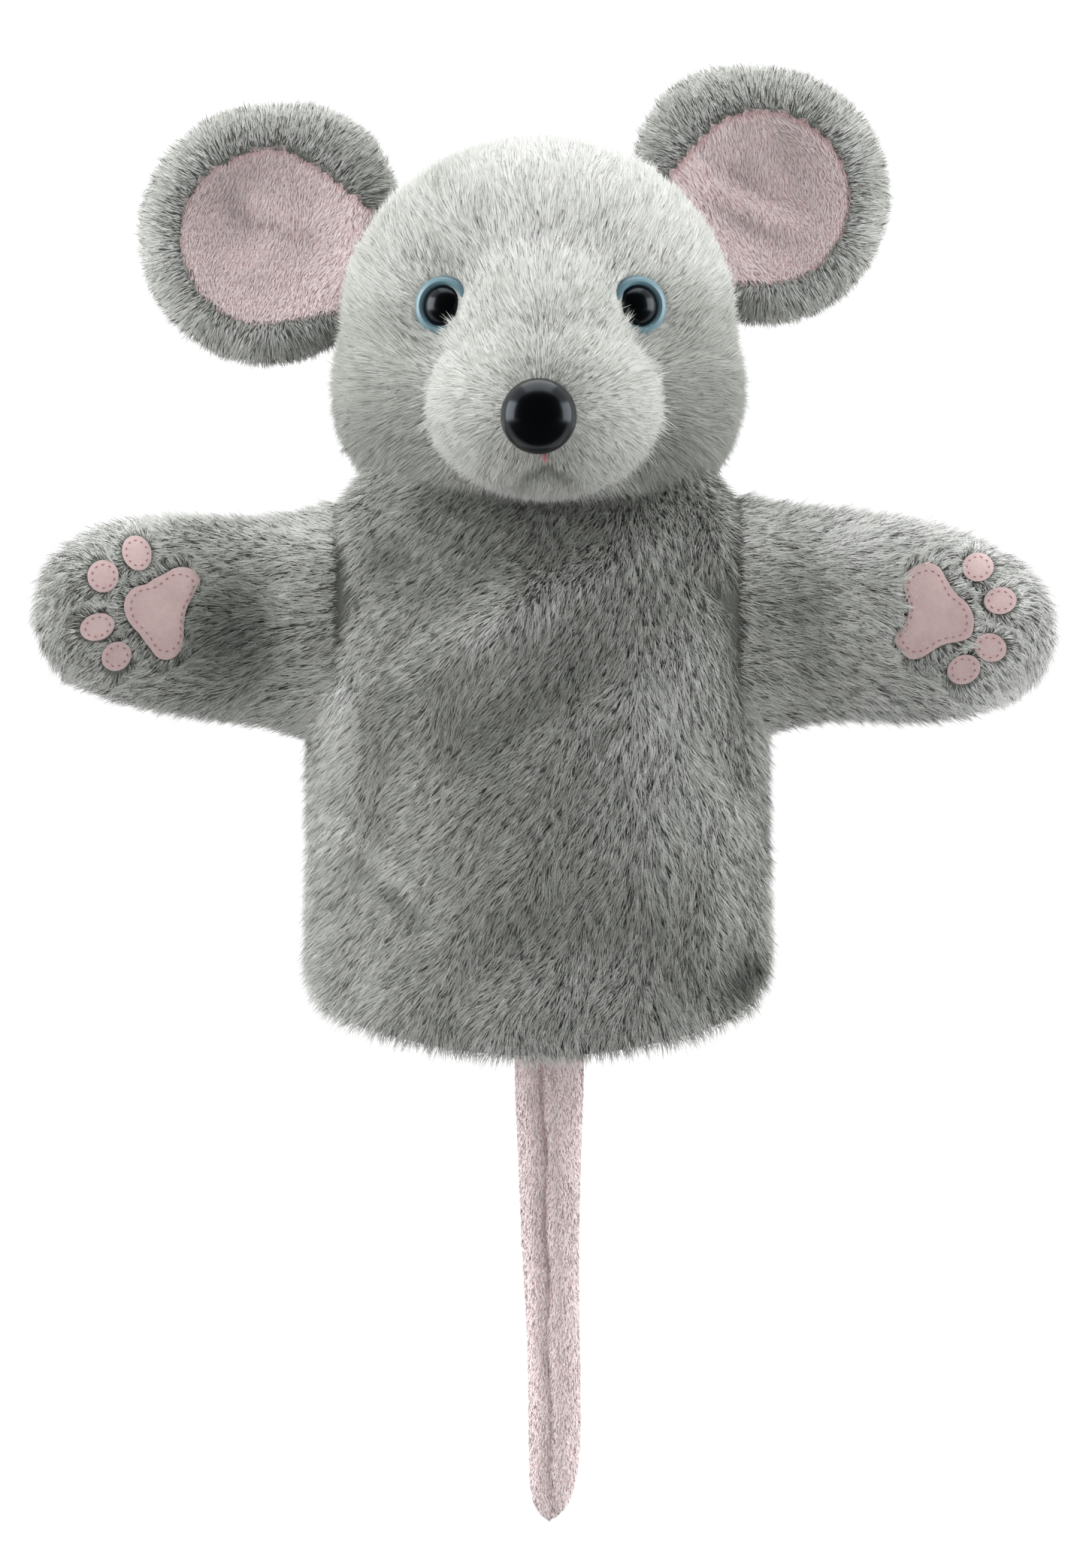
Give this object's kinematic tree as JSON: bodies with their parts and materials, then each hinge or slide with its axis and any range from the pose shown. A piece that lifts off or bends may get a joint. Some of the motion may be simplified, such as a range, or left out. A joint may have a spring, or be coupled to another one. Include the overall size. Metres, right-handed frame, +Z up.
{
  "type": "glove puppet",
  "caption": "Plush mouse glove puppet with a stuffed head, round cupped ears, mitten arms with felt paw pads, a pocket for each finger and a hanging tail.",
  "frame": {"origin": "middle of the hand opening, level with the lowest point of the hem", "axes": "+Z up from the hem to the head; the face looks towards -Y; +X is the puppet's own left arm"},
  "size_m": [0.278, 0.1337, 0.3945],
  "materials": {
    "body_fur": "long-pile plush, mid grey",
    "head_fur": "long-pile plush, pale grey",
    "ear_fur": "long-pile plush, grey",
    "pink_velour": "short-pile plush, pale pink",
    "pink_felt": "pressed felt, dusty pink",
    "cotton": "plain woven cotton",
    "stuffing": "loose polyester fibre",
    "teal_plastic": "moulded, glossy",
    "black_plastic": "moulded, polished",
    "clear_nylon": "moulded nylon",
    "stitch_thread": "twisted embroidery thread"
  },
  "bodies": {
    "glove": {"front_panel": "body_fur", "back_panel": "body_fur", "hand_lining": "cotton", "hem_facing": "body_fur", "tail_tab": "pink_velour"},
    "neck": {"neck_band": "body_fur"},
    "head": {"face_panel": "head_fur", "head_back_panel": "head_fur", "head_stuffing": "stuffing", "head_finger_pocket": "cotton", "muzzle_panel": "head_fur", "muzzle_stuffing": "stuffing", "nose_button": "black_plastic", "nose_washer": "clear_nylon", "mouth_stitch": "stitch_thread", "right_eye_ring": "teal_plastic", "right_eye_pupil": "black_plastic", "right_eye_washer": "clear_nylon", "left_eye_ring": "teal_plastic", "left_eye_pupil": "black_plastic", "left_eye_washer": "clear_nylon"},
    "right_arm": {"right_arm_cover": "body_fur", "right_arm_lining": "cotton"},
    "right_paw": {"right_paw_cover": "body_fur", "right_paw_lining": "cotton", "right_palm_pad": "pink_felt", "right_toe_pad_1": "pink_felt", "right_toe_pad_2": "pink_felt", "right_toe_pad_3": "pink_felt", "right_toe_pad_4": "pink_felt"},
    "right_ear": {"right_ear_back": "ear_fur", "right_ear_lining": "pink_velour"},
    "left_arm": {"left_arm_cover": "body_fur", "left_arm_lining": "cotton"},
    "left_paw": {"left_paw_cover": "body_fur", "left_paw_lining": "cotton", "left_palm_pad": "pink_felt", "left_toe_pad_1": "pink_felt", "left_toe_pad_2": "pink_felt", "left_toe_pad_3": "pink_felt", "left_toe_pad_4": "pink_felt"},
    "left_ear": {"left_ear_back": "ear_fur", "left_ear_lining": "pink_velour"},
    "tail_root": {"tail_upper": "pink_velour"},
    "tail_end": {"tail_lower": "pink_velour"}
  },
  "joints": [
    {"name": "head_tilt", "type": "hinge", "parent": "glove", "child": "neck", "pos_m": [0, 0, 0.14], "axis": [0, 1, 0], "range_deg": [-20, 20]},
    {"name": "head_nod", "type": "hinge", "parent": "neck", "child": "head", "pos_m": [0, 0, 0.158], "axis": [1, 0, 0], "range_deg": [-20, 15]},
    {"name": "right_arm_raise", "type": "hinge", "parent": "glove", "child": "right_arm", "pos_m": [-0.06, 0, 0.1185], "axis": [0, 1, 0], "range_deg": [-30, 30]},
    {"name": "right_paw_fold", "type": "hinge", "parent": "right_arm", "child": "right_paw", "pos_m": [-0.08, -0.004, 0.1185], "axis": [0, 0, 1], "range_deg": [0, 60]},
    {"name": "left_arm_raise", "type": "hinge", "parent": "glove", "child": "left_arm", "pos_m": [0.06, 0, 0.1185], "axis": [0, -1, 0], "range_deg": [-30, 30]},
    {"name": "left_paw_fold", "type": "hinge", "parent": "left_arm", "child": "left_paw", "pos_m": [0.08, -0.004, 0.1185], "axis": [0, 0, -1], "range_deg": [0, 60]},
    {"name": "right_ear_flex", "type": "hinge", "parent": "head", "child": "right_ear", "pos_m": [-0.0554, 0.014, 0.2171], "axis": [-0.2945, 0, -0.9556], "range_deg": [-25, 25], "stiffness_Nm_per_rad": 0.012},
    {"name": "left_ear_flex", "type": "hinge", "parent": "head", "child": "left_ear", "pos_m": [0.0509, 0.014, 0.2278], "axis": [-0.4789, 0, 0.8779], "range_deg": [-25, 25], "stiffness_Nm_per_rad": 0.012},
    {"name": "tail_swing", "type": "hinge", "parent": "glove", "child": "tail_root", "pos_m": [0.003, 0.024, -0.006], "axis": [1, 0, 0], "range_deg": [-60, 60]},
    {"name": "tail_sway", "type": "hinge", "parent": "tail_root", "child": "tail_end", "pos_m": [0.003, 0.024, -0.052], "axis": [0, 1, 0], "range_deg": [-45, 45]}
  ]
}
